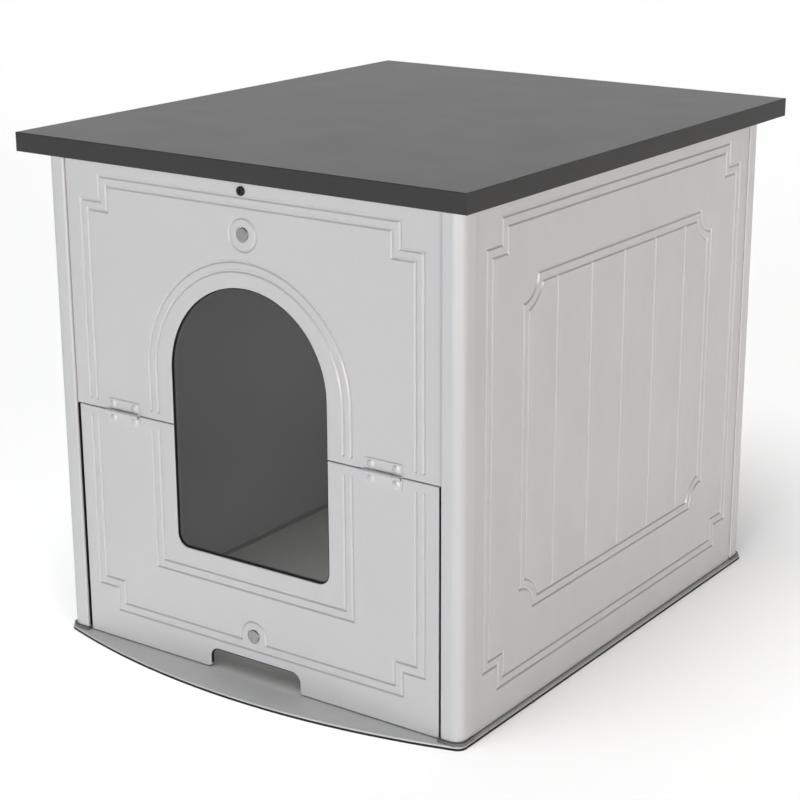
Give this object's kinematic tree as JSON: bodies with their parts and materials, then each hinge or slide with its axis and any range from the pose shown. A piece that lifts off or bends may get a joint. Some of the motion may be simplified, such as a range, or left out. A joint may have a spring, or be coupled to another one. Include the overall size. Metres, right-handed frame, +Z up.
{
  "type": "cat litter enclosure",
  "caption": "Box-shaped cat litter enclosure with a dark tabletop, grooved pale panels, an arched entrance and a lower front door that folds up on magnets",
  "frame": {"origin": "middle of the footprint, on the floor", "axes": "+Z up; the entrance faces -Y; +X is to the right of someone facing the front from outside"},
  "size_m": [0.515, 0.6234, 0.516],
  "materials": {
    "tabletop": "satin dark grey laminate on board",
    "edging": "satin dark grey edge banding",
    "base": "moulded plastic, mid grey, fine texture",
    "skirt": "black rubber",
    "collar": "dark grey moulded plastic",
    "trim_light": "pale cool grey moulded plastic, fine texture",
    "panel": "pale cool grey moulded plastic, fine texture",
    "inner_grey": "mid grey plastic",
    "magnet": "nickel plated",
    "seal": "black soft seal",
    "pin_steel": "bare steel rod",
    "black_screw": "black oxide",
    "screw_steel": "zinc plated",
    "rail_wood": "planed softwood"
  },
  "bodies": {
    "enclosure": {"base_plate": "base", "base_screws": "screw_steel", "base_skirt": "skirt", "corner_post_front_left": "trim_light", "corner_post_front_right": "trim_light", "corner_post_rear_left": "trim_light", "corner_post_rear_right": "trim_light", "entrance_frame_upper": "inner_grey", "entrance_seal_upper": "seal", "foot_socket_front_left": "collar", "foot_socket_front_right": "collar", "foot_socket_rear_left": "collar", "foot_socket_rear_right": "collar", "front_screw": "black_screw", "front_upper_panel": "panel", "hinge_leaf_upper_left": "trim_light", "hinge_leaf_upper_right": "trim_light", "hinge_pin_left": "pin_steel", "hinge_pin_right": "pin_steel", "hinge_rivets_upper": "trim_light", "jamb_seals": "seal", "panel_magnet": "magnet", "panel_magnet_cap": "inner_grey", "panel_screws": "screw_steel", "plug_screws": "screw_steel", "rail_screws": "screw_steel", "rear_panel": "panel", "side_panel_left": "panel", "side_panel_right": "panel", "tabletop_board": "tabletop", "tabletop_edging": "edging", "top_plug_front_left": "inner_grey", "top_plug_front_right": "inner_grey", "top_plug_rear_left": "inner_grey", "top_plug_rear_right": "inner_grey", "top_rail_front": "rail_wood", "top_rail_left": "rail_wood", "top_rail_rear": "rail_wood", "top_rail_right": "rail_wood"},
    "door": {"front_door": "panel", "hinge_leaf_lower_left": "trim_light", "hinge_leaf_lower_right": "trim_light", "hinge_rivets_lower": "trim_light", "door_magnet": "magnet", "door_magnet_cap": "inner_grey", "entrance_seal_lower": "seal", "entrance_frame_lower": "inner_grey", "notch_seal": "seal", "door_edge_seals": "seal"}
  },
  "joints": [
    {"name": "door_hinge", "type": "hinge", "parent": "enclosure", "child": "door", "pos_m": [0, -0.27495, 0.2477], "axis": [-1, 0, 0], "range_deg": [0, 180]}
  ]
}
